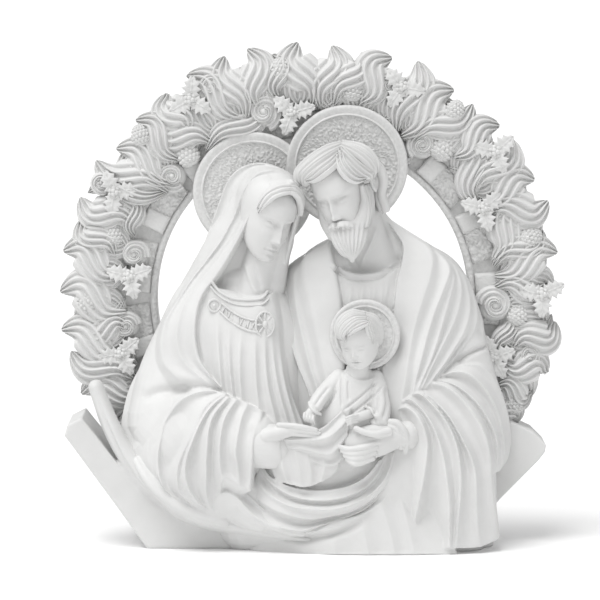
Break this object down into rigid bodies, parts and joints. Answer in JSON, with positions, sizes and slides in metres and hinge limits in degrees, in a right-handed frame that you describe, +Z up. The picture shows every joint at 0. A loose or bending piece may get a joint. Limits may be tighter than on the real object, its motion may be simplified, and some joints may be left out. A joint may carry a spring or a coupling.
{
  "type": "holy family statue",
  "caption": "Cast figure group of a mother, a father and a child with halos, in front of a round arch with a carved wreath of leaves, on a low curved base.",
  "frame": {"origin": "centre of the bounding box's bottom face, on the surface that the statue stands on", "axes": "+X to the viewer's right along the arch's width, +Y from the figures towards the back of the arch, +Z up"},
  "size_m": [0.3011, 0.0989, 0.2996],
  "materials": {
    "white_cast_stone": "matt white resin filled with marble dust"
  },
  "bodies": {
    "root": {"holy_family_statue": "white_cast_stone"}
  },
  "joints": []
}
